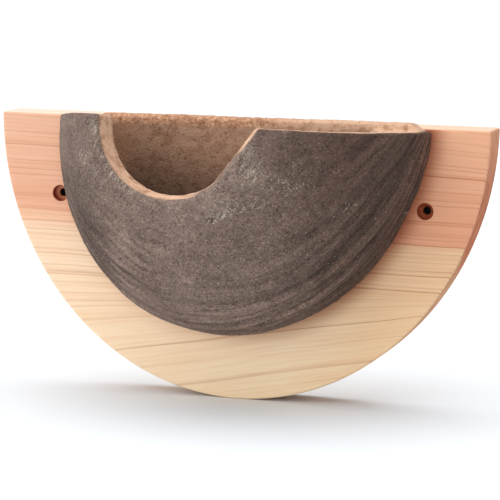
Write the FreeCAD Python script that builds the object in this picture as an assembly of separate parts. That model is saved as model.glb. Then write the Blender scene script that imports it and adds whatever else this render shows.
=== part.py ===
import FreeCAD, Part
import math
import os

# House martin nest cup: a half-round bowl with its own back wall, on a half-oval softwood board.
# Lengths are in millimetres and angles in degrees.
# X runs to the right as the cup is seen from the front, Y runs into the wall and Z runs up.
# The origin is midway between the two wall-screw holes, on the board's back face.

# The board: the lower half of an oval, with its straight edge on top.
board_width = 240.0
board_height = 133.0
board_thickness = 21.0
board_edge_round = 1.2

# The wall-screw holes, one each side of the cup, counterbored from the front.
wall_hole_spacing = 180.0
wall_hole_drop = 38.5
wall_hole_diameter = 4.0
counterbore_diameter = 8.0
counterbore_depth = 4.0

# The cup's outside is the front lower quarter of an egg shape. Its lowest point leans to the left,
# as the hand-formed piece does, by cup_lean millimetres for each millimetre below the rim.
cup_half_width = 88.5
cup_projection = 84.0
cup_depth = 101.0
cup_offset = 4.0
cup_lean = 0.085
cup_wall = 12.0
cup_back_wall = 9.5
cup_inner_round = 13.0
cup_edge_round = 1.0

# The rim starts level along the back wall and rises towards the front, most on the left.
rim_drop = 1.4
rim_rise_left = 11.5
rim_rise_right = 4.5
rim_swap = -8.0

# The back wall's lip stands a little above the board and slopes down to the rim at both ends,
# which lie short of the cup's widest points by the two insets.
lip_rise_left = 1.6
lip_rise_right = 2.8
lip_left_inset = 18.5
lip_right_inset = 8.5
lip_end_run = 8.0
lip_round = 1.6

# The entrance: a round scoop with a straight slanting side on the right. It is drawn on a plane
# that touches the cup's front, and narrows from there towards a point on the board's face.
entrance_radius = 43.5
entrance_centre_x = -10.0
entrance_centre_lift = 13.5
entrance_side_x = 31.6
entrance_side_angle = 52.4
entrance_corner_round = 8.0
entrance_aim_x = -18.0
entrance_aim_drop = 20.7
entrance_reach = 1.2
entrance_start = 0.35

# The screws that hold the cup, driven from the board's back: one low in the middle and two above.
cup_screw_diameter = 4.0
cup_screw_head_diameter = 8.0
cup_screw_length = 28.0
cup_screw_pair_width = 90.0
cup_screw_upper_drop = 26.0
cup_screw_lower_drop = 72.0
screw_clearance = 0.2
recess_width = 1.0
recess_span = 4.6
recess_depth = 1.6

# Overlap of a cutting solid past the face that it cuts, and how near two places have to be to
# count as one when an edge is looked for.
reach = 5.0
nearness = 0.01

# Places that several pieces share.
board_top = wall_hole_drop
board_front = -board_thickness
cup_front = board_front - cup_projection


def vec(x, y, z):
    return FreeCAD.Vector(x, y, z)


def into_wall():
    return vec(0.0, 1.0, 0.0)


def rod(diameter, y_front, y_back, x, z):
    """A round bar along Y."""
    return Part.makeCylinder(diameter / 2.0, y_back - y_front, vec(x, y_front, z), into_wall())


def half_oval_face(half_x, half_z, centre):
    """The lower half of a flat oval in the XZ plane. The ellipse wants its longer half first."""
    right = centre + vec(half_x, 0.0, 0.0)
    left = centre - vec(half_x, 0.0, 0.0)
    if half_z >= half_x:
        ellipse = Part.Ellipse(centre + vec(0.0, 0.0, half_z), right, centre)
    else:
        ellipse = Part.Ellipse(right, centre - vec(0.0, 0.0, half_z), centre)
    start = ellipse.parameter(right)
    arc = ellipse.toShape(start, start + math.pi)
    return Part.Face(Part.Wire([arc, Part.makeLine(left, right)]))


def wall_hole_places():
    return [(side * wall_hole_spacing / 2.0, board_top - wall_hole_drop) for side in (-1.0, 1.0)]


def cup_screw_places():
    """X and Z of each cup screw. The lowest one follows the cup's lean."""
    upper_z = board_top - cup_screw_upper_drop
    lower_z = board_top - cup_screw_lower_drop
    upper = [(cup_offset + side * cup_screw_pair_width / 2.0, upper_z) for side in (-1.0, 1.0)]
    lower = (cup_offset - cup_lean * cup_screw_lower_drop, lower_z)
    return upper + [lower]


def half_oval_board():
    """The half-oval blank with its edges eased."""
    outline = half_oval_face(board_width / 2.0, board_height, vec(0.0, board_front, board_top))
    board = outline.extrude(vec(0.0, board_thickness, 0.0))
    return board.makeFillet(board_edge_round, board.Edges)


def wall_hole(x, z):
    """The through hole and its counterbore."""
    through = rod(wall_hole_diameter, board_front - reach, reach, x, z)
    counterbore = rod(counterbore_diameter, board_front - reach, board_front + counterbore_depth, x, z)
    return through.fuse(counterbore)


def countersunk_form(shank_diameter, head_diameter, length, back, x, z):
    """Shank and conical head, pointing forwards from the plane y = back."""
    shank_tip = back - length
    shank = rod(shank_diameter, shank_tip, back, x, z)
    cone_height = (head_diameter - shank_diameter) / 2.0
    head = Part.makeCone(
        head_diameter / 2.0,
        shank_diameter / 2.0,
        cone_height,
        vec(x, back, z),
        vec(0.0, -1.0, 0.0),
    )
    return shank.fuse(head)


def screw_space(x, z):
    """What the screw takes out of the board and the cup: its own form and the clearance round it."""
    grown = 2.0 * screw_clearance
    body = countersunk_form(
        cup_screw_diameter + grown,
        cup_screw_head_diameter + grown,
        cup_screw_length + screw_clearance,
        0.0,
        x,
        z,
    )
    behind = rod(cup_screw_head_diameter + grown, 0.0, reach, x, z)
    return body.fuse(behind)


def make_backboard():
    board = half_oval_board()
    for x, z in wall_hole_places():
        board = board.cut(wall_hole(x, z))
    for x, z in cup_screw_places():
        board = board.cut(screw_space(x, z))
    return board.removeSplitter()


def leaning_dome(half_width, projection, depth):
    """Half a ball with its flat side on the board, stretched to size and leaned to the left.

    The turn puts the ball's seam at the top, where the rim cut takes it away.
    """
    dome = Part.makeSphere(1.0, vec(0.0, 0.0, 0.0), vec(0.0, -1.0, 0.0), 0.0, 90.0, 360.0)
    dome.rotate(vec(0.0, 0.0, 0.0), into_wall(), 180.0)
    stretch = FreeCAD.Matrix()
    stretch.A11 = half_width
    stretch.A13 = cup_lean * depth
    stretch.A22 = projection
    stretch.A33 = depth
    stretch.A14 = cup_offset
    stretch.A24 = board_front
    stretch.A34 = board_top
    return dome.transformGeometry(stretch)


def cup_hollow():
    """The nest space: the outside drawn in by the wall, with a flat back and a rounded foot to it."""
    dome = leaning_dome(cup_half_width - cup_wall, cup_projection - cup_wall, cup_depth - cup_wall)
    span = 2.0 * (cup_half_width + cup_depth)
    in_front = Part.makeBox(
        span,
        cup_projection,
        span,
        vec(-span / 2.0, board_front - cup_back_wall - cup_projection, board_top - span / 2.0),
    )
    hollow = dome.common(in_front)
    flat_back = board_front - cup_back_wall
    corner = [edge for edge in hollow.Edges if abs(edge.CenterOfMass.y - flat_back) < nearness]
    return hollow.makeFillet(cup_inner_round, corner)


def rim_section(depth):
    """The outline, at one distance from the board, of all that is trimmed off above the rim."""
    y = board_front - depth
    half_span = cup_half_width + abs(cup_offset) + 4.0 * reach
    start = board_top - rim_drop
    left_z = start + rim_rise_left * depth / cup_projection
    right_z = start + rim_rise_right * depth / cup_projection
    top = board_top + cup_depth + 4.0 * reach
    edge = Part.BezierCurve()
    edge.setPoles([
        vec(-half_span, y, left_z),
        vec(rim_swap, y, left_z),
        vec(rim_swap, y, right_z),
        vec(half_span, y, right_z),
    ])
    right_side = Part.makeLine(vec(half_span, y, right_z), vec(half_span, y, top))
    lid = Part.makeLine(vec(half_span, y, top), vec(-half_span, y, top))
    left_side = Part.makeLine(vec(-half_span, y, top), vec(-half_span, y, left_z))
    return Part.Wire([edge.toShape(), right_side, lid, left_side])


def above_rim():
    """Everything above the rim: its underside is ruled from the level back to the risen front."""
    return Part.makeLoft([rim_section(-reach), rim_section(cup_projection + reach)], True, True)


def entrance_side():
    """A point on the entrance's slanting side, level with the board's top, and its direction."""
    slant = math.radians(entrance_side_angle)
    return vec(entrance_side_x, cup_front, board_top), vec(math.cos(slant), 0.0, math.sin(slant))


def entrance_centre():
    return vec(entrance_centre_x, cup_front, board_top + entrance_centre_lift)


def entrance_corner():
    """Where the slanting side, followed downwards, meets the scoop's circle."""
    foot, run = entrance_side()
    offset = foot - entrance_centre()
    along = offset.dot(run)
    inside = entrance_radius ** 2 - offset.dot(offset)
    return foot - run * (along + math.sqrt(along ** 2 + inside))


def entrance_outline():
    """The entrance on the plane that touches the cup's front."""
    centre = entrance_centre()
    foot, run = entrance_side()
    corner = entrance_corner()
    left = centre - vec(entrance_radius, 0.0, 0.0)
    left_top = left + vec(0.0, 0.0, entrance_radius)
    side_top = foot + run * ((left_top.z - foot.z) / run.z)
    # The scoop's arc runs through the point of the circle that lies midway between its ends.
    middle = (math.atan2(corner.z - centre.z, corner.x - centre.x) - math.pi) / 2.0
    halfway = centre + vec(math.cos(middle), 0.0, math.sin(middle)) * entrance_radius
    scoop = Part.Arc(left, halfway, corner).toShape()
    side = Part.makeLine(corner, side_top)
    lid = Part.makeLine(side_top, left_top)
    drop = Part.makeLine(left_top, left)
    return Part.Wire([scoop, side, lid, drop])


def entrance_space():
    """The entrance cut: its outline drawn in towards the aiming point, so its edge faces the bowl."""
    aim = vec(entrance_aim_x, board_front, board_top - entrance_aim_drop)
    shares = (entrance_start, entrance_reach)
    sections = []
    for share in shares:
        section = entrance_outline()
        section.scale(share, aim)
        sections.append(section)
    space = Part.makeLoft(sections, True, True)
    corner_middle = aim + (entrance_corner() - aim) * (sum(shares) / 2.0)
    corner = [
        edge for edge in space.Edges
        if edge.CenterOfMass.distanceToPoint(corner_middle) < nearness
    ]
    return space.makeFillet(entrance_corner_round, corner)


def lies_on(cutter, edge):
    """Whether an edge was left by a cutter."""
    first, last = edge.ParameterRange
    middle = Part.Vertex(edge.valueAt((first + last) / 2.0))
    skin = Part.makeCompound(cutter.Faces)
    return skin.distToShape(middle)[0] < nearness


def trimmed_edges(bowl, cutters):
    """The edges round the rim and the entrance, without the one that lies on the board."""
    found = []
    for edge in bowl.Edges:
        on_board = abs(edge.CenterOfMass.y - board_front) < nearness
        if not on_board and any(lies_on(cutter, edge) for cutter in cutters):
            found.append(edge)
    return found


def back_lip():
    """The strip on top of the back wall, which stands higher than the rest of the rim."""
    left_x = cup_offset - cup_half_width + lip_left_inset
    right_x = cup_offset + cup_half_width - lip_right_inset
    foot_z = board_top - rim_drop - cup_edge_round
    outline = Part.makePolygon([
        vec(left_x - lip_end_run, board_front, foot_z),
        vec(left_x, board_front, board_top + lip_rise_left),
        vec(right_x, board_front, board_top + lip_rise_right),
        vec(right_x + lip_end_run, board_front, foot_z),
        vec(left_x - lip_end_run, board_front, foot_z),
    ])
    lip = Part.Face(outline).extrude(vec(0.0, -cup_back_wall, 0.0))
    top_edges = [edge for edge in lip.Edges if min(v.Z for v in edge.Vertexes) > board_top]
    return lip.makeFillet(lip_round, top_edges)


def make_nest_cup():
    bowl = leaning_dome(cup_half_width, cup_projection, cup_depth)
    bowl = bowl.cut(cup_hollow())
    cutters = [above_rim(), entrance_space()]
    for cutter in cutters:
        bowl = bowl.cut(cutter)
    bowl = bowl.makeFillet(cup_edge_round, trimmed_edges(bowl, cutters))
    bowl = bowl.fuse(back_lip())
    for x, z in cup_screw_places():
        bowl = bowl.cut(screw_space(x, z))
    return bowl


def make_cup_screw(x, z):
    """A countersunk wood screw with a cross recess in its head, flush with the board's back."""
    screw = countersunk_form(
        cup_screw_diameter, cup_screw_head_diameter, cup_screw_length, 0.0, x, z
    )
    for size_x, size_z in ((recess_span, recess_width), (recess_width, recess_span)):
        corner = vec(x - size_x / 2.0, -recess_depth, z - size_z / 2.0)
        screw = screw.cut(Part.makeBox(size_x, recess_depth + reach, size_z, corner))
    return screw


def make_cup_screws():
    return Part.makeCompound([make_cup_screw(x, z) for x, z in cup_screw_places()])


def save(shape, name):
    shape.exportStep("parts/" + name + ".step")
    print(name, "solids", len(shape.Solids), "volume", round(shape.Volume, 1), "valid", shape.isValid())


os.makedirs("parts", exist_ok=True)
save(make_backboard(), "backboard")
save(make_nest_cup(), "nest_cup")
save(make_cup_screws(), "cup_screws")
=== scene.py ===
# %% [markdown]
# # A nest cup for house martins
#
# The real object is a half-round bowl of dark, rough mineral material, scraped by hand on the
# outside and cut by hand at the rim and the entrance. It sits on a half-oval softwood board. The
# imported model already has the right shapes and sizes, so this lesson gives them their surfaces.
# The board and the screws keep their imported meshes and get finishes. The cup gets a finer mesh of
# its own, because its scrapes and pits are real relief.

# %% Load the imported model
import math
import random
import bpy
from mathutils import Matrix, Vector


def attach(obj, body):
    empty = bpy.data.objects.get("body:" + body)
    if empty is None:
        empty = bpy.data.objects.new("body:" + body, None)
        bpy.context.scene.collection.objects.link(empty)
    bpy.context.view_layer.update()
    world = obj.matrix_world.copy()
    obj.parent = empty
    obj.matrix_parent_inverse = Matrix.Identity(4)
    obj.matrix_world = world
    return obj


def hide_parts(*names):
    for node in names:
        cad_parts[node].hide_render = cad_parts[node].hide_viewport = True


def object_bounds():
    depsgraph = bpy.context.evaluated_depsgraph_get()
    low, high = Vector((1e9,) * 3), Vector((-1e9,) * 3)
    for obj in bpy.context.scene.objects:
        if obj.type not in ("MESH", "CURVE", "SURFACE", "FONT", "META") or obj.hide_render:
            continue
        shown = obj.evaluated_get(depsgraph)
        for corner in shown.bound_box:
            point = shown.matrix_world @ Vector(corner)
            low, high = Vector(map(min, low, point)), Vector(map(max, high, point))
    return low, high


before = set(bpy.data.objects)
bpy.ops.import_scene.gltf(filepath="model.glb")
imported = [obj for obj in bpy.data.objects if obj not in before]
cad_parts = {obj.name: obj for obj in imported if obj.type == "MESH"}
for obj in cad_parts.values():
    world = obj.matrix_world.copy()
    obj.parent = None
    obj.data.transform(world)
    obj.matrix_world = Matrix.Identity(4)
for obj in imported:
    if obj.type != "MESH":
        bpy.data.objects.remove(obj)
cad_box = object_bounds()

from types import SimpleNamespace

import bpy
import numpy as np
from mathutils import Matrix, Vector, noise

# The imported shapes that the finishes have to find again, in millimetres: the board's front face
# and its top, and the egg that the cup's outside is part of.
PER_METRE = 1000.0
BOARD_FACE = -21.0
BOARD_TOP = 38.5
EGG_RADII = (88.5, 84.0, 101.0)
CUP_OFFSET = 4.0
CUP_LEAN = 0.085

# %% [markdown]
# ## The camera
#
# The photograph was taken from the front, a little from the left and a little from above, with a
# long lens, so the board's edges stay nearly parallel. The place and the three directions come
# from fitting the board's outline and the two screw holes. A camera looks along its own -Z, so
# the third column of its matrix points backwards.

# %% Camera
PICTURE_SIDE = 500
FOCAL_PIXELS = 2536.9
SENSOR_WIDTH = 36.0
CAMERA_PLACE = Vector((0.3486, -1.1572, 0.1445))
CAMERA_RIGHT = Vector((0.9567, 0.2907, 0.0143)).normalized()
CAMERA_UP = Vector((-0.0541, 0.1292, 0.9901))
CAMERA_REACH = 50.0


def add_camera():
    """The camera of the photograph, from its fitted place and directions."""
    bpy.ops.object.camera_add()
    camera = bpy.context.object
    camera.name = "photo_camera"
    backwards = CAMERA_RIGHT.cross(CAMERA_UP).normalized()
    upwards = backwards.cross(CAMERA_RIGHT)
    turn = Matrix((CAMERA_RIGHT, upwards, backwards)).transposed().to_4x4()
    camera.matrix_world = Matrix.Translation(CAMERA_PLACE) @ turn
    camera.data.sensor_width = SENSOR_WIDTH
    camera.data.lens = FOCAL_PIXELS / PICTURE_SIDE * SENSOR_WIDTH
    camera.data.clip_end = CAMERA_REACH
    bpy.context.scene.camera = camera
    return camera


photo_camera = add_camera()
print("lens", round(photo_camera.data.lens, 1), "mm")

# %% [markdown]
# ## Light and floor
#
# The photograph was taken in a white room: a large soft light stands at the left, another hangs
# overhead, a third fills in from the front, and the white floor throws much of it back up. Sun
# lamps with wide angles give that soft light with the same strength everywhere, also on the far
# floor. The room itself is white to look at and in reflections, but gives the surfaces only a
# part of that light, so the lamps still shape them. The floor is a little blue, which takes back
# the warm light that the wood throws on it. The Standard view keeps the colours as measured.

# %% Studio
FLOOR_SIDE = 30.0
FLOOR_COLOUR = (0.895, 0.938, 0.978)
ROOM_STRENGTH = 1.0
ROOM_SHARE_AS_LIGHT = 0.30
WHITE = (1.0, 1.0, 1.0, 1.0)
# Each lamp's name, the direction of its light, its strength, and how wide it is in degrees.
LAMPS = [
    ("left_softbox", (0.80, 0.58, -0.14), 1.60, 70.0),
    ("overhead_softbox", (0.05, 0.10, -1.0), 2.55, 84.0),
    ("front_fill", (0.15, 1.0, 0.02), 1.14, 50.0),
]


def world_light():
    """A white room that lights rough surfaces with only a share of what is seen of it."""
    world = bpy.data.worlds.new("white_room")
    world.use_nodes = True
    nodes, links = world.node_tree.nodes, world.node_tree.links
    rays = nodes.new("ShaderNodeLightPath")
    strength = nodes.new("ShaderNodeMath")
    strength.operation = "MULTIPLY_ADD"
    strength.inputs[1].default_value = -ROOM_STRENGTH * (1.0 - ROOM_SHARE_AS_LIGHT)
    strength.inputs[2].default_value = ROOM_STRENGTH
    links.new(rays.outputs["Is Diffuse Ray"], strength.inputs[0])
    links.new(strength.outputs["Value"], nodes["Background"].inputs["Strength"])
    nodes["Background"].inputs["Color"].default_value = WHITE
    bpy.context.scene.world = world


def sun_light(name, direction, strength, angle):
    """A sun lamp as wide as a softbox."""
    bpy.ops.object.light_add(type="SUN")
    lamp = bpy.context.object
    lamp.name = name
    lamp.rotation_euler = Vector(direction).to_track_quat("-Z", "Y").to_euler()
    lamp.data.energy = strength
    lamp.data.angle = math.radians(angle)


def pale_floor():
    """A matt floor under the board's lowest point."""
    bpy.ops.mesh.primitive_plane_add(size=FLOOR_SIDE, location=(0.0, 0.0, cad_box[0].z))
    floor = bpy.context.object
    floor.name = "floor"
    paint = bpy.data.materials.new("pale_floor")
    paint.use_nodes = True
    shader = paint.node_tree.nodes["Principled BSDF"]
    shader.inputs["Base Color"].default_value = (*FLOOR_COLOUR, 1.0)
    shader.inputs["Roughness"].default_value = 1.0
    shader.inputs["Specular IOR Level"].default_value = 0.0
    floor.data.materials.append(paint)


bpy.context.scene.view_settings.view_transform = "Standard"
world_light()
for lamp in LAMPS:
    sun_light(*lamp)
pale_floor()
print("floor at", round(cad_box[0].z * PER_METRE, 1), "mm, lamps:", [lamp[0] for lamp in LAMPS])

# %% [markdown]
# ## Helpers for materials
#
# All patterns are built from the same few nodes. A small class keeps the wiring short: it adds a
# node, sets its values, and connects whatever is given as a socket. Most finishes below are a
# plain colour that takes one tint after another, so the tints are kept in small tables. A named
# pair of numbers, here and for the cup, says where a share is 0 and where it is 1. A named noise
# has its scale, detail and roughness. A stretch has one factor for each coordinate.

# %% Node helper
MIX_FIRST = 6
MIX_SECOND = 7
MIX_RESULT = 2


class Wiring:
    """Adds and connects the nodes of one tree."""

    def __init__(self, tree):
        self.tree = tree

    def add(self, kind, inputs=None, **settings):
        node = self.tree.nodes.new(kind)
        for key, value in settings.items():
            setattr(node, key, value)
        for key, value in (inputs or {}).items():
            self.feed(node.inputs[key], value)
        return node

    def feed(self, socket, value):
        if isinstance(value, bpy.types.NodeSocket):
            self.tree.links.new(value, socket)
        elif hasattr(socket.default_value, "__len__") and len(socket.default_value) == 4:
            socket.default_value = (*value, 1.0)
        else:
            socket.default_value = value

    def math(self, operation, first, second=0.0, third=0.0):
        inputs = {0: first, 1: second, 2: third}
        return self.add("ShaderNodeMath", inputs, operation=operation).outputs[0]

    def times(self, first, *others):
        """All the values multiplied together."""
        for other in others:
            first = self.math("MULTIPLY", first, other)
        return first

    def between(self, share, low, high):
        """Low where the share is 0 and high where it is 1."""
        return self.math("MULTIPLY_ADD", share, high - low, low)

    def length(self, first, second):
        """How long the way is that goes so far one way and so far across it."""
        squares = [self.math("POWER", value, 2.0) for value in (first, second)]
        return self.math("SQRT", self.math("ADD", *squares))

    def steps(self, value, low, high, smooth=True):
        """0 below low and 1 above high. Low may be the larger of the two."""
        kind = "SMOOTHSTEP" if smooth else "LINEAR"
        inputs = {"Value": value, "From Min": low, "From Max": high}
        return self.add("ShaderNodeMapRange", inputs, interpolation_type=kind).outputs["Result"]

    def where(self, *limits):
        """The shares of several values multiplied, each value given with its low and high."""
        return self.times(*[self.steps(value, *pair) for value, pair in limits])

    def split(self, vector):
        return self.add("ShaderNodeSeparateXYZ", {0: vector}).outputs

    def combine(self, x, y, z):
        return self.add("ShaderNodeCombineXYZ", {"X": x, "Y": y, "Z": z}).outputs[0]

    def stretched(self, vector, factors):
        """The vector with each coordinate multiplied by its own factor."""
        inputs = {0: vector, 1: factors}
        return self.add("ShaderNodeVectorMath", inputs, operation="MULTIPLY").outputs[0]

    def noise(self, vector, scale, detail=2.0, roughness=0.5):
        inputs = {"Vector": vector, "Scale": scale, "Detail": detail, "Roughness": roughness}
        return self.add("ShaderNodeTexNoise", inputs).outputs["Fac"]

    def mix(self, factor, first, second, blend="MIX"):
        node = self.add("ShaderNodeMix", data_type="RGBA", blend_type=blend)
        self.feed(node.inputs["Factor"], factor)
        self.feed(node.inputs[MIX_FIRST], first)
        self.feed(node.inputs[MIX_SECOND], second)
        return node.outputs[MIX_RESULT]

    def tint(self, share, colour, tone):
        """The colour multiplied by the tone, as far as the share says."""
        return self.mix(share, colour, tone, "MULTIPLY")

    def bump(self, height, strength, distance):
        inputs = {"Height": height, "Strength": strength, "Distance": distance}
        return self.add("ShaderNodeBump", inputs).outputs["Normal"]


# %% Materials and tints


def new_material(name):
    """An empty material: its wiring, its shader and the place on the piece in millimetres."""
    material = bpy.data.materials.new(name)
    material.use_nodes = True
    wiring = Wiring(material.node_tree)
    shader = material.node_tree.nodes["Principled BSDF"]
    place = wiring.add("ShaderNodeTexCoord").outputs["Object"]
    return material, wiring, shader, wiring.stretched(place, (PER_METRE, PER_METRE, PER_METRE))


def tinted(wiring, colour, at, tints):
    """One tint after another. Each has its pattern's name, where that pattern is 0 and where it
    is 1, the name of a pattern that limits it, if any, and its tone."""
    for pattern, low, high, limit, tone in tints:
        share = wiring.steps(getattr(at, pattern), low, high)
        if limit:
            share = wiring.times(share, getattr(at, limit))
        colour = wiring.tint(share, colour, tone)
    return colour


def only_material(piece, material):
    piece.data.materials.clear()
    piece.data.materials.append(material)


# %% [markdown]
# ## How the rings run
#
# The board is sawn from a softwood such as larch: salmon heartwood above, pale sapwood below, and
# dark lines where each year's growth ended. The lines run almost level near the top, and below
# the middle they fan out to the left and steepen. One value, the growth coordinate, follows them
# all: it is the height at which a line crosses the board's middle. Everything else reads that
# value: the colour zones, the strong lines, the fine ones between them, and the fibres.

# %% Growth coordinate
LEVEL_HEIGHT = -37.0
UPPER_FAN = 0.00056
LOWER_FAN = 0.0063
STEEPEST = 0.19
RING_SLANT = 0.9
WANDER = 3.2
WANDER_STRETCH = (0.014, 0.03, 0.05)
WANDER_NOISE = (1.0, 2.5)


def growth_coordinate(wiring, place):
    """Where a point lies: its coordinates, its growth, and how far behind the face and under
    the top it is, all in millimetres."""
    x, y, z = wiring.split(place)
    wave = wiring.noise(wiring.stretched(place, WANDER_STRETCH), *WANDER_NOISE)
    wave = wiring.math("SUBTRACT", wave, 0.5)
    behind = wiring.math("SUBTRACT", y, BOARD_FACE)
    over_level = wiring.math("SUBTRACT", z, LEVEL_HEIGHT)
    risen = wiring.math("MULTIPLY_ADD", behind, RING_SLANT, over_level)
    risen = wiring.math("MULTIPLY_ADD", wave, WANDER, risen)

    is_low = wiring.math("LESS_THAN", risen, 0.0)
    fan = wiring.between(is_low, UPPER_FAN, LOWER_FAN)
    spread = wiring.math("SUBTRACT", 1.0, wiring.times(fan, x))
    fanned = wiring.math("DIVIDE", risen, spread)
    parallel = wiring.math("MULTIPLY_ADD", x, -STEEPEST, risen)
    is_lowest = wiring.math("LESS_THAN", parallel, -STEEPEST / LOWER_FAN)
    change = wiring.times(is_lowest, wiring.math("SUBTRACT", parallel, fanned))
    growth = wiring.math("ADD", wiring.math("ADD", fanned, change), LEVEL_HEIGHT)
    under_top = wiring.math("SUBTRACT", z, BOARD_TOP)
    return SimpleNamespace(x=x, y=y, z=z, growth=growth, behind=behind, under_top=under_top)


print("the lines fan out below", LEVEL_HEIGHT, "mm")

# %% [markdown]
# ## Lines and zones of the wood
#
# The strong lines are set one by one, because everyone reads a board by its few strong lines. A
# line darkens slowly from one side and ends sharply on the other, as late wood does. The finer
# lines between them repeat every few millimetres with uneven strength. A picture of wood would
# be quicker, but it couldn't run through the board as these lines do, round its edges to the
# back. At the left the strong lines are fainter, and the border of the heartwood is yellower.

# %% Lines of the years
# Each strong line's growth coordinate, its darkness, and its width in millimetres.
STRONG_LINES = [
    (30.5, 0.26, 0.7),
    (23.2, 0.40, 0.6),
    (19.4, 0.85, 0.9),
    (12.0, 0.14, 0.9),
    (8.2, 0.24, 0.7),
    (5.4, 0.42, 0.6),
    (-3.1, 0.62, 0.6),
    (-4.4, 0.34, 0.5),
    (-9.0, 0.22, 0.8),
    (-14.9, 0.85, 0.7),
    (-20.8, 0.36, 0.6),
    (-27.6, 0.55, 0.6),
    (-30.0, 0.80, 0.7),
    (-35.8, 0.36, 0.6),
    (-38.2, 0.95, 1.2),
    (-41.4, 0.40, 0.6),
    (-47.0, 0.40, 0.9),
    (-53.0, 0.36, 1.0),
    (-64.6, 0.75, 0.9),
    (-74.0, 0.12, 1.5),
    (-84.5, 0.42, 2.0),
]
SLOW_SIDE = 1.9
SHARP_SIDE = 0.28
SLOW_POWER = 3.5
FINE_SPACING = 2.3
UNEVEN_SCALE = 0.11
UNEVEN_DETAIL = 1.0
UNEVEN_YEARS = 2.6
LATE_POWER = 6.0
LATE_END = 0.95
DARKNESS_POWER = 1.6


def strong_lines(wiring, growth):
    """The darkness of the strong lines, from 0 to 1."""
    dark = 0.0
    for height, strength, width in STRONG_LINES:
        fading = wiring.steps(growth, height + SLOW_SIDE * width, height)
        ending = wiring.steps(growth, height - SHARP_SIDE * width, height)
        shape = wiring.times(wiring.math("POWER", fading, SLOW_POWER), ending, strength)
        dark = wiring.math("MAXIMUM", shape, dark)
    return dark


def fine_lines(wiring, growth):
    """Lines of the years between, each with its own darkness."""
    inputs = {"W": growth, "Scale": UNEVEN_SCALE, "Detail": UNEVEN_DETAIL}
    uneven = wiring.add("ShaderNodeTexNoise", inputs, noise_dimensions="1D").outputs["Fac"]
    years = wiring.math("DIVIDE", growth, -FINE_SPACING)
    years = wiring.math("MULTIPLY_ADD", uneven, -UNEVEN_YEARS, years)
    phase = wiring.math("FRACT", years)
    late = wiring.times(wiring.math("POWER", phase, LATE_POWER), wiring.steps(phase, 1.0, LATE_END))
    year = wiring.math("FLOOR", years)
    darkness = wiring.add("ShaderNodeTexWhiteNoise", {"W": year}, noise_dimensions="1D")
    return wiring.times(late, wiring.math("POWER", darkness.outputs["Value"], DARKNESS_POWER))


# %% Colours of the planed faces
# The growth coordinate and the colour there, with a blend to the next.
GROWTH_ZONES = [
    # The lowest zone is paler partly as painted light, for light that the cup keeps off the board's
    # bottom.
    (-95.0, (0.97, 0.780, 0.535)),
    (-45.0, (0.925, 0.700, 0.490)),
    (-18.0, (0.885, 0.652, 0.462)),
    (-15.8, (0.865, 0.600, 0.418)),
    (-14.2, (0.77, 0.415, 0.268)),
    (-5.0, (0.76, 0.405, 0.262)),
    (12.0, (0.77, 0.435, 0.292)),
    (38.0, (0.79, 0.475, 0.328)),
]
GRAIN_TINTS = [
    ("fibres", 0.34, 0.66, None, (0.950, 0.905, 0.865)),
    ("broad", 0.35, 0.70, None, (0.975, 0.925, 0.880)),
]
FIBRE_STRETCH = (0.03, 0.8, 1.5)
FIBRE_NOISE = (1.0, 3.0, 0.65)
BROAD_STRETCH = (0.010, 0.15, 0.30)
BROAD_NOISE = (1.0, 2.0, 0.5)
FAINT_STRETCH = (0.018, 0.0, 0.12)
FAINT_NOISE = (1.0, 1.0)
FAINT_RANGE = (0.25, 0.6)
FAINTEST = 0.45
LEFT_FADE = (-105.0, 20.0)
LEFT_FAINTEST = 0.55
QUIET_RANGE = (-62.0, -38.0)
QUIETEST = 0.35
BORDER_UNDER = (-16.0, -14.8)
BORDER_OVER = (-8.5, -12.5)
BORDER_LEFT = (10.0, -60.0)
BORDER_WOOD = (0.84, 0.525, 0.345)
FINE_TONE = (0.66, 0.46, 0.34)
STRONG_TONE = (0.56, 0.34, 0.22)


def growth_colour(wiring, growth):
    """The colour of each zone of growth."""
    ramp = wiring.add("ShaderNodeValToRGB")
    low, high = GROWTH_ZONES[0][0], GROWTH_ZONES[-1][0]
    wiring.feed(ramp.inputs["Fac"], wiring.steps(growth, low, high, smooth=False))
    stops = ramp.color_ramp.elements
    for index, (height, colour) in enumerate(GROWTH_ZONES):
        position = (height - low) / (high - low)
        stop = stops[index] if index < 2 else stops.new(position)
        stop.position = position
        stop.color = (*colour, 1.0)
    return ramp.outputs["Color"]


def add_grain(wiring, at):
    """Adds the fibres, the broad bands, and the strong and fine lines to what is known."""
    grain = wiring.combine(at.x, at.y, at.growth)
    at.fibres = wiring.noise(wiring.stretched(grain, FIBRE_STRETCH), *FIBRE_NOISE)
    at.broad = wiring.noise(wiring.stretched(grain, BROAD_STRETCH), *BROAD_NOISE)
    faint = wiring.noise(wiring.stretched(grain, FAINT_STRETCH), *FAINT_NOISE)
    faint = wiring.between(wiring.steps(faint, *FAINT_RANGE), FAINTEST, 1.0)
    by_left = wiring.between(wiring.steps(at.x, *LEFT_FADE), LEFT_FAINTEST, 1.0)
    at.strong = wiring.times(strong_lines(wiring, at.growth), wiring.times(faint, by_left))
    at.fine = fine_lines(wiring, at.growth)


def planed_colour(wiring, at):
    """The colour of the planed front and back."""
    colour = growth_colour(wiring, at.growth)
    over_border = ((at.growth, BORDER_UNDER), (at.growth, BORDER_OVER), (at.x, BORDER_LEFT))
    colour = wiring.mix(wiring.where(*over_border), colour, BORDER_WOOD)
    colour = tinted(wiring, colour, at, GRAIN_TINTS)
    quiet = wiring.between(wiring.steps(at.growth, *QUIET_RANGE), QUIETEST, 1.0)
    colour = wiring.tint(wiring.times(at.fine, quiet), colour, FINE_TONE)
    return wiring.tint(at.strong, colour, STRONG_TONE)


print("strong lines:", len(STRONG_LINES), "zones of growth:", len(GROWTH_ZONES))
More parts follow.
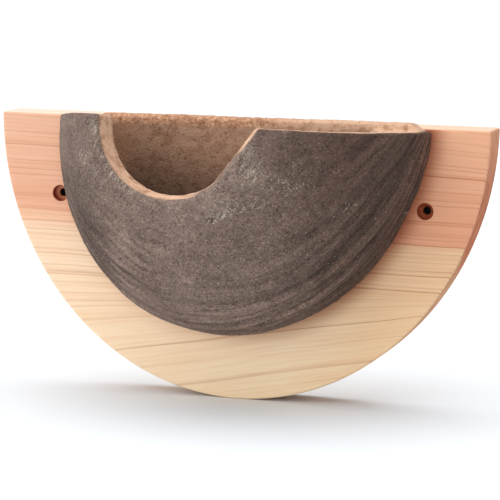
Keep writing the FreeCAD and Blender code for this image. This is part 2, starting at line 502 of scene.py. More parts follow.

# %% [markdown]
# ## Edges, end grain and holes
#
# The planed top is paler, partly with a painted highlight. At the right end the heartwood is
# redder and the sapwood yellower, and both carry painted shade from the cup there. The sawn oval
# edge shows end grain, which is darker and redder, less so low down, with streaks that run along
# the edge. Close round the cup's foot the wood carries darker, redder painted shade, most on the
# right and below. The counterbore walls are darker, partly as end grain and partly as painted
# shade, the right counterbore's floor carries painted shade, and the holes are painted black as
# shade.

# %% Edges and ends
# The top's paler colour is partly a painted highlight.
PALE_TOP_AND_HIGHLIGHT = (0.88, 0.66, 0.52)
ON_TOP = (-0.5, -0.05)
HEARTWOOD = (-16.0, -14.0)
SAPWOOD = (-14.0, -16.0)
# The right-end tints also darken the wood with painted shade from the cup.
RED_END_AND_SHADE = (0.93, 0.84, 0.76)
RED_FROM = (40.0, 95.0)
YELLOW_END_AND_SHADE = (0.865, 0.775, 0.675)
YELLOW_FROM = (15.0, 75.0)
EDGE_BEHIND = (0.5, 1.4)
EDGE_BEFORE_BACK = (-0.6, -1.4)
EDGE_UNDER_TOP = (-0.3, -1.2)
END_GRAIN = (0.76, 0.53, 0.42)
END_GRAIN_LOW = (0.86, 0.72, 0.66)
GETS_LOW = (-5.0, -45.0)
END_FROM = (36.0, 0.0)
END_AT_TOP = 0.40
END_BELOW = 0.85
STREAK_STRETCH = (0.070, 0.75, 1.0)
STREAK_NOISE = (1.0, 3.0, 0.7)
LATE_RANGE = (0.46, 0.60)
LATE_TONE = (0.66, 0.48, 0.38)
LATE_FROM = (40.0, 0.0)
LATE_AT_TOP = 0.5
EARLY_RANGE = (0.46, 0.34)
EARLY_TONE = (1.14, 1.16, 1.20)


def end_colours(wiring, at, colour):
    """The paler top, partly painted highlight, and redder, yellower right ends, partly painted shade.
    """
    colour = wiring.mix(wiring.steps(at.under_top, *ON_TOP), colour, PALE_TOP_AND_HIGHLIGHT)
    red_and_shade = wiring.where((at.x, RED_FROM), (at.growth, HEARTWOOD))
    colour = wiring.tint(red_and_shade, colour, RED_END_AND_SHADE)
    yellow_and_shade = wiring.where((at.x, YELLOW_FROM), (at.growth, SAPWOOD))
    return wiring.tint(yellow_and_shade, colour, YELLOW_END_AND_SHADE)


def sawn_edge(wiring, at, colour):
    """End grain on the oval edge. The top edge is long grain."""
    away_from_faces = ((at.behind, EDGE_BEHIND), (at.y, EDGE_BEFORE_BACK))
    at.on_edge = wiring.where(*away_from_faces, (at.under_top, EDGE_UNDER_TOP))
    share = wiring.between(wiring.steps(at.z, *END_FROM), END_AT_TOP, END_BELOW)
    tone = wiring.mix(wiring.steps(at.z, *GETS_LOW), END_GRAIN, END_GRAIN_LOW)
    colour = wiring.tint(wiring.times(at.on_edge, share), colour, tone)

    along_edge = wiring.stretched(wiring.combine(at.growth, at.y, 0.0), STREAK_STRETCH)
    streaks = wiring.noise(along_edge, *STREAK_NOISE)
    late = wiring.times(at.on_edge, wiring.steps(streaks, *LATE_RANGE))
    late = wiring.times(late, wiring.between(wiring.steps(at.z, *LATE_FROM), LATE_AT_TOP, 1.0))
    colour = wiring.tint(late, colour, LATE_TONE)
    early = wiring.times(at.on_edge, wiring.steps(streaks, *EARLY_RANGE))
    return wiring.tint(early, colour, EARLY_TONE)


# %% Painted foot shade and holes
# Painted contact shade round the cup's foot, strongest on the right and below.
FOOT_SHADE_TONE = (0.52, 0.31, 0.22)
FOOT_SHADE_RANGE = (1.13, 0.99)
FOOT_SHADE_POWER = 1.5
FOOT_SHADE_BEHIND = (0.4, 0.1)
FOOT_SHADE_TO_RIGHT = (-30.0, 70.0)
LEAST_FOOT_SHADE = 0.32
HOLE_X = 90.0
BORE_RADIUS = 4.0
BORE_EDGE = 0.3
WALL_EDGE = 0.7
HOLE_RADIUS = 2.0
HOLE_EDGE = (0.35, 0.05)
BORE_BEHIND = (0.1, 1.2)
HOLE_BEHIND = (4.2, 7.5)
# Painted shade: the counterbore walls, partly darker end grain, the right floor, and the holes painted
# black.
BORE_GRAIN_AND_SHADE = (0.72, 0.48, 0.40)
HOLE_SHADE = (0.04, 0.03, 0.03)
SHADED_BORE_FLOOR = (-80.0, 80.0)
FLOOR_SHARE = 0.15


def painted_foot_shade(wiring, at, colour):
    """Painted shade: darker, redder wood round the egg's outline on the board's face."""
    leant = wiring.math("MULTIPLY_ADD", at.under_top, -CUP_LEAN, at.x)
    across = wiring.math("DIVIDE", wiring.math("SUBTRACT", leant, CUP_OFFSET), EGG_RADII[0])
    below = wiring.math("DIVIDE", at.under_top, EGG_RADII[2])
    foot_shade = wiring.steps(wiring.length(across, below), *FOOT_SHADE_RANGE)
    foot_shade = wiring.math("POWER", foot_shade, FOOT_SHADE_POWER)
    foot_shade = wiring.times(foot_shade, wiring.steps(at.behind, *FOOT_SHADE_BEHIND))
    to_right = wiring.between(wiring.steps(at.x, *FOOT_SHADE_TO_RIGHT), LEAST_FOOT_SHADE, 1.0)
    return wiring.tint(wiring.times(foot_shade, to_right), colour, FOOT_SHADE_TONE)


def holes_with_painted_shade(wiring, at, colour):
    """End grain and painted shade darken the bores, less on the left floor; the holes get black shade.
    """
    from_middle = wiring.math("SUBTRACT", wiring.math("ABSOLUTE", at.x), HOLE_X)
    radius = wiring.length(from_middle, at.z)
    in_bore = wiring.steps(radius, BORE_RADIUS + BORE_EDGE, BORE_RADIUS)
    at.in_bore = wiring.times(in_bore, wiring.steps(at.behind, *BORE_BEHIND))
    on_wall = wiring.steps(radius, BORE_RADIUS - WALL_EDGE, BORE_RADIUS - BORE_EDGE)
    on_wall = wiring.math("MAXIMUM", on_wall, wiring.steps(at.x, *SHADED_BORE_FLOOR))
    bore_shade = wiring.times(at.in_bore, wiring.between(on_wall, FLOOR_SHARE, 1.0))
    colour = wiring.tint(bore_shade, colour, BORE_GRAIN_AND_SHADE)
    painted_hole_shade = wiring.steps(radius, HOLE_RADIUS + HOLE_EDGE[0], HOLE_RADIUS + HOLE_EDGE[1])
    painted_hole_shade = wiring.times(painted_hole_shade, wiring.steps(at.behind, *HOLE_BEHIND))
    return wiring.tint(painted_hole_shade, colour, HOLE_SHADE)


# %% Wood
WOOD_ROUGH = (0.50, 0.66)
WOOD_SHINE = 0.35
WOOD_BUMP = (0.15, 0.0003)
LINE_RELIEF = 0.5


def wood_finish():
    """The board's material, from its colour to its faint relief."""
    material, wiring, shader, place = new_material("planed_softwood")
    at = growth_coordinate(wiring, place)
    add_grain(wiring, at)
    colour = planed_colour(wiring, at)
    for layer in (end_colours, sawn_edge, painted_foot_shade, holes_with_painted_shade):
        colour = layer(wiring, at, colour)
    wiring.feed(shader.inputs["Base Color"], colour)

    rough = wiring.between(at.fibres, *WOOD_ROUGH)
    rough = wiring.math("MAXIMUM", rough, wiring.math("MAXIMUM", at.in_bore, at.on_edge))
    wiring.feed(shader.inputs["Roughness"], rough)
    shader.inputs["Specular IOR Level"].default_value = WOOD_SHINE
    lines = wiring.math("ADD", at.strong, at.fine)
    height = wiring.math("MULTIPLY_ADD", lines, LINE_RELIEF, at.fibres)
    wiring.feed(shader.inputs["Normal"], wiring.bump(height, *WOOD_BUMP))
    return material


board_wood = wood_finish()
only_material(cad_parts["backboard"], board_wood)
print("wood nodes:", len(board_wood.node_tree.nodes))

# %% [markdown]
# ## The screws that hold the cup
#
# Three zinc-plated wood screws are driven from the back, and only their heads show there. Plating
# is never one even grey: it has faint mottling and fine turning marks round the head, so its
# colour and its roughness both follow noise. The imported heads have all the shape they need.

# %% Screws
MOTTLE_NOISE = (0.9, 3.0, 0.6)
TURNED_STRETCH = (0.4, 6.0, 1.0)
TURNED_NOISE = (1.5, 2.0)
ZINC_LIGHT = (0.60, 0.60, 0.60)
ZINC_DARK = (0.43, 0.44, 0.46)
MOTTLE_RANGE = (0.35, 0.68)
TURNED_TONE = (0.86, 0.85, 0.83)
TURNED_RANGE = (0.45, 0.70)
ZINC_ROUGH = (0.20, 0.50)
ZINC_BUMP = (0.2, 0.0001)


def steel_finish():
    """Mottled plating with turning marks."""
    material, wiring, shader, place = new_material("zinc_plated_steel")
    mottle = wiring.noise(place, *MOTTLE_NOISE)
    turned = wiring.noise(wiring.stretched(place, TURNED_STRETCH), *TURNED_NOISE)
    colour = wiring.mix(wiring.steps(mottle, *MOTTLE_RANGE), ZINC_LIGHT, ZINC_DARK)
    colour = wiring.tint(wiring.steps(turned, *TURNED_RANGE), colour, TURNED_TONE)
    wiring.feed(shader.inputs["Base Color"], colour)
    wiring.feed(shader.inputs["Roughness"], wiring.between(mottle, *ZINC_ROUGH))
    shader.inputs["Metallic"].default_value = 1.0
    wiring.feed(shader.inputs["Normal"], wiring.bump(turned, *ZINC_BUMP))
    return material


screw_steel = steel_finish()
only_material(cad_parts["cup_screws"], screw_steel)
print("screw material:", screw_steel.name)

# %% [markdown]
# ## A finer mesh for the cup
#
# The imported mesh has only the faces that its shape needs, and its triangles are loose. Scrapes and
# pits need small faces of even size. So a copy is merged, remeshed with a voxel a little under a
# millimetre, and smoothed a little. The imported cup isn't shown any more, because this piece
# stands for it.

# %% Cup mesh
MERGE_DISTANCE = 0.00001
CUP_VOXEL = 0.00098
SMOOTH_FACTOR = 0.5
SMOOTH_PASSES = 3


def only_active(piece):
    bpy.ops.object.select_all(action="DESELECT")
    piece.select_set(True)
    bpy.context.view_layer.objects.active = piece


def apply_modifier(piece, name, kind, **settings):
    modifier = piece.modifiers.new(name, kind)
    for key, value in settings.items():
        setattr(modifier, key, value)
    bpy.ops.object.modifier_apply(modifier=modifier.name)


def fine_copy(node_name, piece_name):
    """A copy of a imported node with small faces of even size."""
    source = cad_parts[node_name]
    piece = bpy.data.objects.new(piece_name, source.data.copy())
    bpy.context.scene.collection.objects.link(piece)
    only_active(piece)
    bpy.ops.object.mode_set(mode="EDIT")
    bpy.ops.mesh.select_all(action="SELECT")
    bpy.ops.mesh.remove_doubles(threshold=MERGE_DISTANCE)
    bpy.ops.object.mode_set(mode="OBJECT")
    apply_modifier(piece, "even_faces", "REMESH", mode="VOXEL", voxel_size=CUP_VOXEL)
    apply_modifier(piece, "soften", "SMOOTH", factor=SMOOTH_FACTOR, iterations=SMOOTH_PASSES)
    bpy.ops.object.shade_smooth()
    return piece


cup = fine_copy("nest_cup", "nest_cup_surface")
print("cup faces:", len(cup.data.polygons))

# %% [markdown]
# ## Where things are on the cup
#
# The outside is part of an egg shape, so each point is first put in the egg's own measure: its
# share of the way from the middle to the outside, its angle round the front, and how far it lies
# from the board along the surface. The hollow is a smaller egg. The entrance narrows like a cone,
# which gives the distance of a point from its edge. From these come two shares that say where the
# scraped outside and the hollow are, with slightly ragged borders. What is left is cut faces: the
# rim, the edge of the entrance and the lip of the back wall.

# %% The egg and the entrance
CUP_WALL = 12.0
MEAN_RADIUS = 91.0
AIM = (-18.0, 17.8)
SCOOP_CENTRE = (-10.0, 52.0)
SCOOP_RADIUS = 43.5


def ease(value, low, high):
    """0 below low and 1 above high, smoothly. Low may be the larger of the two."""
    share = np.clip((value - low) / (high - low), 0.0, 1.0)
    return share * share * (3.0 - 2.0 * share)


def field(points):
    """Smooth noise between -1 and 1 at each point."""
    return np.array([noise.noise(Vector(point)) for point in points])


def ragged(points, amount, size):
    """Noise of an amount and a size in millimetres, for uneven borders."""
    return amount * field(points / size)


def layered(points, coarse, fine, coarse_share=0.6, shift=0.0):
    """Noise of two sizes, in millimetres, the coarse one with its share."""
    fine_share = 1.0 - coarse_share
    return coarse_share * field(points / coarse + shift) + fine_share * field(points / fine)


def egg_measure(points, drawn_in=0.0):
    """Share, angle and distance from the board, on the egg or on one drawn in by a wall."""
    x, y, z = points.T
    radii = np.array(EGG_RADII) - drawn_in
    down = z - BOARD_TOP
    across = (x - CUP_OFFSET - CUP_LEAN * down) / radii[0]
    forward = (BOARD_FACE - y) / radii[1]
    height = down / radii[2]
    share = np.sqrt(across ** 2 + forward ** 2 + height ** 2)
    angle = np.arctan2(height, across)
    along = np.arcsin(np.clip(forward / share, 0.0, 1.0)) * MEAN_RADIUS
    return share, angle, along


def from_scoop(points):
    """Distance outside the entrance's round edge, measured in the board's plane."""
    x, y, z = points.T
    share = (BOARD_FACE - y) / EGG_RADII[1]
    centre_x = AIM[0] + share * (SCOOP_CENTRE[0] - AIM[0])
    centre_z = AIM[1] + share * (SCOOP_CENTRE[1] - AIM[1])
    return np.hypot(x - centre_x, z - centre_z) - share * SCOOP_RADIUS


def read_points(piece):
    """Each point's place in millimetres and its normal."""
    count = len(piece.data.vertices)
    points, normals = np.empty(count * 3), np.empty(count * 3)
    piece.data.vertices.foreach_get("co", points)
    piece.data.vertices.foreach_get("normal", normals)
    return points.reshape(-1, 3) * PER_METRE, normals.reshape(-1, 3)


points, normals = read_points(cup)
right, height = points[:, 0], points[:, 2]
forward = BOARD_FACE - points[:, 1]
egg_share, angle, along = egg_measure(points)
print("points:", len(points), "farthest forward", round(float(forward.max()), 1), "mm")

# %% Outside and inside
# Borders as shares of the egg or in millimetres. A ragged one has its noise's amount and size.
SKIN = (0.960, 0.986)
SKIN_RAGGED = (0.004, 1.7)
SLANT_SKIN = (0.878, 0.910)
SLANT_UNDER = (33.0, 30.0)
SLANT_LEFT = (-2.0, 6.0)
SLANT_RIGHT = (38.0, 33.0)
UNDER_LIP = (BOARD_TOP - 1.2, BOARD_TOP - 3.0)
LIP_RAGGED = (0.8, 3.0)
HOLLOW_SKIN = (1.040, 1.000)
HOLLOW_RAGGED = (0.016, 2.6)
ENTRANCE_EDGE = (15.0, 1.0)
ENTRANCE_RAGGED = (2.0, 4.0)
ENTRANCE_FORWARD = (26.0, 40.0)
ENTRANCE_SHARE = 0.85
OFF_BOARD = (0.1, 0.9)


def outside_share(points):
    """1 on the scraped outside, also where the entrance's straight side slants through it."""
    outer = ease(egg_share + ragged(points, *SKIN_RAGGED), *SKIN)
    at_slant = ease(right, *SLANT_LEFT) * ease(right, *SLANT_RIGHT) * ease(height, *SLANT_UNDER)
    return np.maximum(outer, at_slant * ease(egg_share, *SLANT_SKIN))


def inside_share(points, outer):
    """1 in the hollow, less towards the entrance's cut edge."""
    hollow_share = egg_measure(points, CUP_WALL)[0]
    below_lip = ease(height + ragged(points, *LIP_RAGGED), *UNDER_LIP)
    hollow_share = hollow_share + ragged(points, *HOLLOW_RAGGED)
    inside = (1.0 - outer) * ease(hollow_share, *HOLLOW_SKIN) * below_lip
    by_entrance = ease(from_scoop(points) + ragged(points, *ENTRANCE_RAGGED), *ENTRANCE_EDGE)
    return inside * (1.0 - ENTRANCE_SHARE * by_entrance * ease(forward, *ENTRANCE_FORWARD))


outer = outside_share(points)
inside = inside_share(points, outer)
print("outside share:", round(float(outer.mean()), 2), "inside share:", round(float(inside.mean()), 2))

# %% [markdown]
# ## Scrapes and scratches
#
# The maker drew a scraper round the wet bowl, which left long creases and low ridges, deepest
# near the board, and reaching further forward on the right than on the left. Low on the bowl they
# run round it at a nearly even distance from the board, and towards the rim they fan in to its
# two corners. They are noise that is drawn out along the scraper's way: its first two coordinates
# turn with the angle and change slowly. Its third changes fast, and is part distance from the
# board and part turn about the line of the rim. Four single scratches are at their own places.

# %% Strength of the scraping
LOW_SIDE = (-0.75, 0.55)
RIGHT_WEIGHT = 0.85
LOW_SIDE_LEAST = 0.35
REACH = 50.0
REACH_MORE = 62.0
REACH_RIGHT = (-0.6, 0.4)
REACH_START = 6.0
LEFT_SIDE = (0.05, 0.50)
LEFT_UNDER = (14.0, -14.0)
LEFT_ALONG = (125.0, 85.0)
LEFT_SHARE = 0.65
FOOT_BAND = (15.0, 3.0)
FOOT_SHARE = 0.75


def scrape_strength(angle, along):
    """How strongly each point was scraped, from 0 to 1."""
    low_side = ease(-np.sin(angle) + RIGHT_WEIGHT * np.cos(angle), *LOW_SIDE)
    reach = REACH + REACH_MORE * ease(np.cos(angle), *REACH_RIGHT)
    near_board = ease(along, reach, REACH_START)
    near_board = near_board * (LOW_SIDE_LEAST + (1.0 - LOW_SIDE_LEAST) * low_side)
    lower_left = ease(-np.cos(angle), *LEFT_SIDE) * ease(height, *LEFT_UNDER) * ease(along, *LEFT_ALONG)
    strength = np.clip(np.maximum(near_board, LEFT_SHARE * lower_left), 0.0, 1.0)
    return np.maximum(strength, FOOT_SHARE * ease(along, *FOOT_BAND))


strength = scrape_strength(angle, along)
print("scraped share:", round(float((strength * outer).mean()), 2))

# %% The scraper's way
TURN_SHARE = 0.62
TURN_RADIUS = 70.0
TURN_SOFTENING = 0.12
WIDE_BENDS = (3.0, 32.0)
CLOSE_BENDS = (0.8, 11.0)
# Length along the way, width across it, and a shift that keeps the patterns apart.
CREASES = (60.0, 4.6, 0.0)
CREASE_POWER = 9
HAIRLINES = (26.0, 1.9, 9.0)
HAIRLINE_POWER = 6
LOW_RIDGES = (64.0, 3.2, 5.0)
LOW_RIDGE_SHARE = 0.55
BROAD_RIDGES = (90.0, 6.5, 2.0)
BROAD_RIDGE_SHARE = 0.45


def scrape_way(angle, along, points):
    """Coordinates that are slow along the scraper's way and fast across it, in millimetres."""
    fallen = np.maximum((BOARD_TOP - height) / EGG_RADII[2], 0.0)
    turned = np.arctan2(np.maximum(forward / EGG_RADII[1], 0.0), fallen + TURN_SOFTENING)
    across = (1.0 - TURN_SHARE) * along + TURN_SHARE * turned * TURN_RADIUS
    across += ragged(points, *WIDE_BENDS) + ragged(points, *CLOSE_BENDS)
    return np.column_stack([np.cos(angle) * MEAN_RADIUS, np.sin(angle) * MEAN_RADIUS, across])


def drawn_out(way, length, width, shift):
    return field(way / np.array([length, length, width]) + shift)


way = scrape_way(angle, along, points)
crease = (1.0 - np.abs(drawn_out(way, *CREASES))) ** CREASE_POWER
hairline = (1.0 - np.abs(drawn_out(way, *HAIRLINES))) ** HAIRLINE_POWER
ridge = LOW_RIDGE_SHARE * drawn_out(way, *LOW_RIDGES)
ridge += BROAD_RIDGE_SHARE * drawn_out(way, *BROAD_RIDGES)
print("strongest crease:", round(float((strength * crease).max()), 2))

# %% Single scratches
# Start and end seen from the front, half width, and strength.
SCRATCHES = [
    ((10.6, 1.2), (20.5, 5.2), 0.85, 0.55),
    ((20.5, 5.2), (33.5, 9.5), 0.75, 0.45),
    ((62.0, 4.0), (71.0, 9.5), 0.70, 0.30),
    ((30.5, 15.0), (46.5, 23.0), 0.60, 0.22),
]
SCRATCH_EDGE = 1.3
SCRATCH_DUST = (4.5, 0.8)
SCRATCH_FORWARD = (20.0, 30.0)


def scratched(outer):
    """How deep the single scratches go, from 0 to 1, and the dust pushed up beside them."""
    depth, dust = np.zeros(len(outer)), np.zeros(len(outer))
    for start, end, width, amount in SCRATCHES:
        start, end = np.array(start), np.array(end)
        run = end - start
        share = ((right - start[0]) * run[0] + (height - start[1]) * run[1]) / (run @ run)
        share = np.clip(share, 0.0, 1.0)
        distance = np.hypot(right - start[0] - share * run[0], height - start[1] - share * run[1])
        depth = np.maximum(depth, amount * ease(distance, width * SCRATCH_EDGE, 0.0))
        beside = ease(distance, width * SCRATCH_DUST[0], width * SCRATCH_DUST[1])
        dust = np.maximum(dust, amount * beside)
    front = outer * ease(forward, *SCRATCH_FORWARD)
    return depth * front, dust * front


scratch, scratch_dust = scratched(outer)
print("scratches:", len(SCRATCHES), "deepest share:", round(float(scratch.max()), 2))

# %% [markdown]
# ## Pits, grit and crumbs
#
# Small stones left pits, and the whole outside is gritty. The cut faces and the hollow are
# crumbly instead, most along the top of the back wall. All of it is worked out as a depth for
# each point, which then moves along its normal. Points on the board's face stay where they are,
# so the cup still sits flat.

# %% Pits
PIT_COUNT = 130
PIT_SEED = 11
PIT_POWER = 1.5
PIT_SMALLEST = 0.7
PIT_MEDIUM = 1.0
PIT_AMOUNT = (0.25, 0.8)
ONLY_OUTSIDE = 0.9
# Middle, radius in millimetres, and strength.
PLACED_PITS = [
    ((10.6, -98.5, 1.2), 1.9, 1.0),
    ((-68.4, -67.2, 12.0), 2.0, 0.9),
    ((-66.5, -68.0, 8.0), 1.5, 0.7),
    ((88.7, -36.0, 22.9), 2.4, 1.0),
    ((86.5, -38.1, 16.2), 2.0, 0.9),
    ((83.6, -36.8, 6.8), 1.7, 0.8),
    ((72.5, -45.1, -11.2), 2.2, 0.9),
    ((69.5, -50.0, -13.0), 1.6, 0.8),
]


def pits(points, outer):
    """Small round hollows, some at chosen places and the rest at seeded ones."""
    draw = random.Random(PIT_SEED)
    places = np.flatnonzero(outer > ONLY_OUTSIDE)
    chosen = [(np.array(middle), radius, amount) for middle, radius, amount in PLACED_PITS]
    for _ in range(PIT_COUNT):
        middle = points[draw.choice(places)]
        radius = draw.uniform(PIT_SMALLEST, PIT_MEDIUM + draw.random() ** 3)
        chosen.append((middle, radius, draw.uniform(*PIT_AMOUNT)))
    depth = np.zeros(len(points))
    for middle, radius, amount in chosen:
        near = np.clip(1.0 - ((points - middle) ** 2).sum(1) / radius ** 2, 0.0, 1.0)
        depth = np.maximum(depth, near ** PIT_POWER * amount)
    return depth


pit = pits(points, outer)
print("pits:", PIT_COUNT + len(PLACED_PITS))

# %% Relief
SCRAPE_DEPTH = 0.72
SWELL_DEPTH = 0.42
GRIT_DEPTH = 0.16
PIT_DEPTH = 0.75
CRUMB_DEPTH = 0.55
CREASE_SHARE = 0.9
HAIRLINE_SHARE = 0.3
RIDGE_SHARE = 3.2
FADING_HEIGHT = (BOARD_TOP + 4.0, BOARD_TOP - 26.0)
LEAST_AT_RIM = 0.25
LIP_BEHIND = (-38.0, -33.0)
LIP_ABOVE = (BOARD_TOP - 16.0, BOARD_TOP - 4.0)
LIP_FROM_RIGHT = (45.0, 5.0)
CRUMBLY = 0.6
CRUMBLY_LIP = 0.6
LIP_PATCHES = 14.0
CRUMB_SIZES = (3.1, 1.4)
CRUMB_LIMITS = (-0.5, 1.0)
GRIT_SIZES = (1.9, 1.1)
GRIT_SHIFT = 3.0
SWELL_SIZES = (27.0, 9.0)
SWELL_COARSE = 0.7


def scrape_relief():
    """Creases and ridges, weaker near the rim, and the scratches."""
    fading = LEAST_AT_RIM + (1.0 - LEAST_AT_RIM) * ease(height, *FADING_HEIGHT)
    scraping = CREASE_SHARE * crease + HAIRLINE_SHARE * hairline - RIDGE_SHARE * ridge
    return strength * fading * scraping + scratch


def crumb_relief(points):
    """Crumbs on the cut faces, largest along the lip of the back wall."""
    crumb = np.clip(layered(points, *CRUMB_SIZES), *CRUMB_LIMITS)
    on_lip = ease(points[:, 1], *LIP_BEHIND) * ease(height, *LIP_ABOVE)
    on_lip = on_lip * ease(right, *LIP_FROM_RIGHT) * (0.5 + ragged(points, 0.5, LIP_PATCHES))
    return (CRUMBLY + CRUMBLY_LIP * on_lip) * crumb


def press_in(piece, points, normals, depth):
    """Moves each point inwards along its normal."""
    moved = points - normals * depth[:, None]
    piece.data.vertices.foreach_set("co", (moved / PER_METRE).ravel())
    piece.data.update()


grit = layered(points, *GRIT_SIZES, shift=GRIT_SHIFT)
depth = outer * (SCRAPE_DEPTH * scrape_relief() + GRIT_DEPTH * grit + PIT_DEPTH * pit)
depth += (1.0 - outer) * CRUMB_DEPTH * crumb_relief(points)
depth += SWELL_DEPTH * layered(points, *SWELL_SIZES, coarse_share=SWELL_COARSE)
press_in(cup, points, normals, depth * ease(forward, *OFF_BOARD))
print("deepest", round(float(depth.max()), 2), "mm, highest", round(float(-depth.min()), 2), "mm")

# %% [markdown]
# ## What the finish needs to know
#
# The finish has to follow the relief: creases and pits get painted shade, ridges a painted
# highlight with painted shade between them, and pale dust lies along the entrance, beside the
# scratches and on a few scuffed places. Each of these goes into the mesh as an attribute, one
# value per point, which the material reads. The scraper's way goes in too, as a vector, so that
# the finish can draw streaks finer than the mesh.

# %% Dust and attributes
# Middle, radius in millimetres, and amount of dust.
SCUFFS = [
    ((26.5, -102.0, 33.2), 6.0, 0.55),
    ((28.4, -100.2, 23.0), 7.0, 0.75),
    ((33.3, -98.4, 20.9), 6.0, 0.65),
    ((45.3, -92.3, 18.5), 8.0, 0.50),
    ((17.8, -99.6, 8.3), 7.0, 0.45),
    ((-53.6, -84.6, 25.0), 6.0, 0.60),
    ((-47.0, -89.0, 17.0), 6.0, 0.50),
]
SCUFF_FADE = (1.7, 0.2)
EDGE_DUST = 0.75
DUST_EDGE = (6.0, 0.5)
DUST_LEFT = (8.0, 34.0)
SCRATCH_DUST_SHARE = 1.5
HAIRLINE_SHADE = 0.25
PIT_SHADE = 0.9
SCRATCH_SHADE = 0.6
RIDGE_LIGHT_AND_SHADE = 1.3


def scuffed(points):
    worn = np.zeros(len(points))
    for middle, radius, amount in SCUFFS:
        distance = np.sqrt(((points - np.array(middle)) ** 2).sum(1))
        spread = ease(distance, radius * SCUFF_FADE[0], radius * SCUFF_FADE[1])
        worn = np.maximum(worn, amount * spread)
    return worn


def add_attribute(piece, name, values):
    """One number for each point, or three where the values have three columns."""
    is_vector = values.ndim == 2
    kind = "FLOAT_VECTOR" if is_vector else "FLOAT"
    attribute = piece.data.attributes.new(name, kind, "POINT")
    flat = values.astype(np.float32).ravel()
    attribute.data.foreach_set("vector" if is_vector else "value", flat)


edge_dust = EDGE_DUST * ease(from_scoop(points), *DUST_EDGE) * ease(-right, *DUST_LEFT)
dust = np.maximum(np.maximum(edge_dust, scuffed(points)), scratch_dust * SCRATCH_DUST_SHARE)
# Painted shade for the creases, hairlines, pits and scratches; the ridge values give painted highlight
# and shade.
dark = strength * (crease + HAIRLINE_SHADE * hairline) + PIT_SHADE * pit + SCRATCH_SHADE * scratch
finish_values = {
    "outer": outer,
    "inside": inside,
    "hollows": np.clip(dark, 0.0, 1.0),
    "ridge": np.clip(0.5 + RIDGE_LIGHT_AND_SHADE * ridge, 0.0, 1.0),
    "scraped": strength,
    "dust": outer * np.clip(dust, 0.0, 1.0),
    "way": way,
}
for name, values in finish_values.items():
    add_attribute(cup, name, values)
print("attributes:", sorted(finish_values))

# %% [markdown]
# ## The mineral finish
#
# Outside, the mix is dark grey-brown, matt and gritty, with single pale sand grains. It is
# greyer on the left and carries darker, redder painted shade on the right, and streaks follow the
# scraper. Where it is cut it is pale tan, and the hollow is a deeper brown, with painted shade
# darkest at the bottom. The attributes say where each of the three lies, because no
# pattern made from the place alone could follow the ragged borders between them.

# %% What the finish reads
ATTRIBUTES = ("outer", "inside", "hollows", "ridge", "scraped", "dust")
CUP_NOISES = {
    "tone": (0.035, 3.0, 0.55),
    "blotch": (0.22, 3.0, 0.6),
    "grit": (1.15, 4.0, 0.75),
    "pale": (0.8, 1.0, 0.5),
    "crumbs": (0.62, 4.0, 0.75),
    "specks": (1.7, 2.0, 0.7),
    "cracked": (0.30, 2.0, 0.6),
}
GRAIN_SCALE = 1.25
STREAK_WAY = (0.030, 0.030, 0.42)
STREAK_DETAIL = (1.0, 4.0, 0.7)
STREAK_RANGE = (0.2, 0.95)


def cup_patterns(wiring, place):
    """The patterns that the cup's colours are made of."""
    at = SimpleNamespace()
    at.x, at.y, at.z = wiring.split(place)
    for name in ATTRIBUTES:
        node = wiring.add("ShaderNodeAttribute", attribute_name=name)
        setattr(at, name, node.outputs["Fac"])
    for name, settings in CUP_NOISES.items():
        setattr(at, name, wiring.noise(place, *settings))
    at.grains = wiring.add("ShaderNodeTexVoronoi", {"Vector": place, "Scale": GRAIN_SCALE}).outputs
    at.grain = wiring.add("ShaderNodeSeparateColor", {0: at.grains["Color"]}).outputs[0]
    way = wiring.add("ShaderNodeAttribute", attribute_name="way").outputs["Vector"]
    at.streak = wiring.noise(wiring.stretched(way, STREAK_WAY), *STREAK_DETAIL)
    at.streaked = wiring.between(at.scraped, *STREAK_RANGE)
    return at


print("patterns:", len(ATTRIBUTES) + len(CUP_NOISES))

# %% Outside colour
OUTSIDE_DARK = (0.168, 0.116, 0.094)
OUTSIDE_LIGHT = (0.270, 0.198, 0.164)
TONE_RANGE = (0.15, 0.85)
LEFT_FOOT = (0.70, 0.68, 0.67)
LEFT_FOOT_SIDE = (-38.0, -56.0)
LEFT_FOOT_UNDER = (26.0, 10.0)
# Painted shade: darker and redder on the right side.
RIGHT_SIDE_SHADE = (0.53, 0.45, 0.41)
RIGHT_SHADE_FROM = (24.0, 84.0)
RIGHT_SHADE_RAGGED = 22.0
# Painted shade in the creases, pits and scratches.
HOLLOW_SHADE = (0.36, 0.32, 0.30)
OUTSIDE_TINTS = [
    ("streak", 0.52, 0.70, "streaked", (1.45, 1.43, 1.40)),
    ("streak", 0.48, 0.32, "streaked", (0.60, 0.57, 0.55)),
    # The two ridge tints are a painted highlight on the ridges and painted shade between them.
    ("ridge", 0.52, 0.85, "scraped", (1.42, 1.40, 1.37)),
    ("ridge", 0.48, 0.15, "scraped", (0.62, 0.59, 0.57)),
    ("blotch", 0.35, 0.70, None, (0.86, 0.85, 0.84)),
    ("grit", 0.48, 0.66, None, (0.57, 0.55, 0.53)),
    ("grit", 0.43, 0.29, None, (1.52, 1.50, 1.46)),
    ("grain", 0.78, 0.98, None, (1.45, 1.40, 1.34)),
    ("grain", 0.22, 0.02, None, (0.62, 0.60, 0.58)),
]


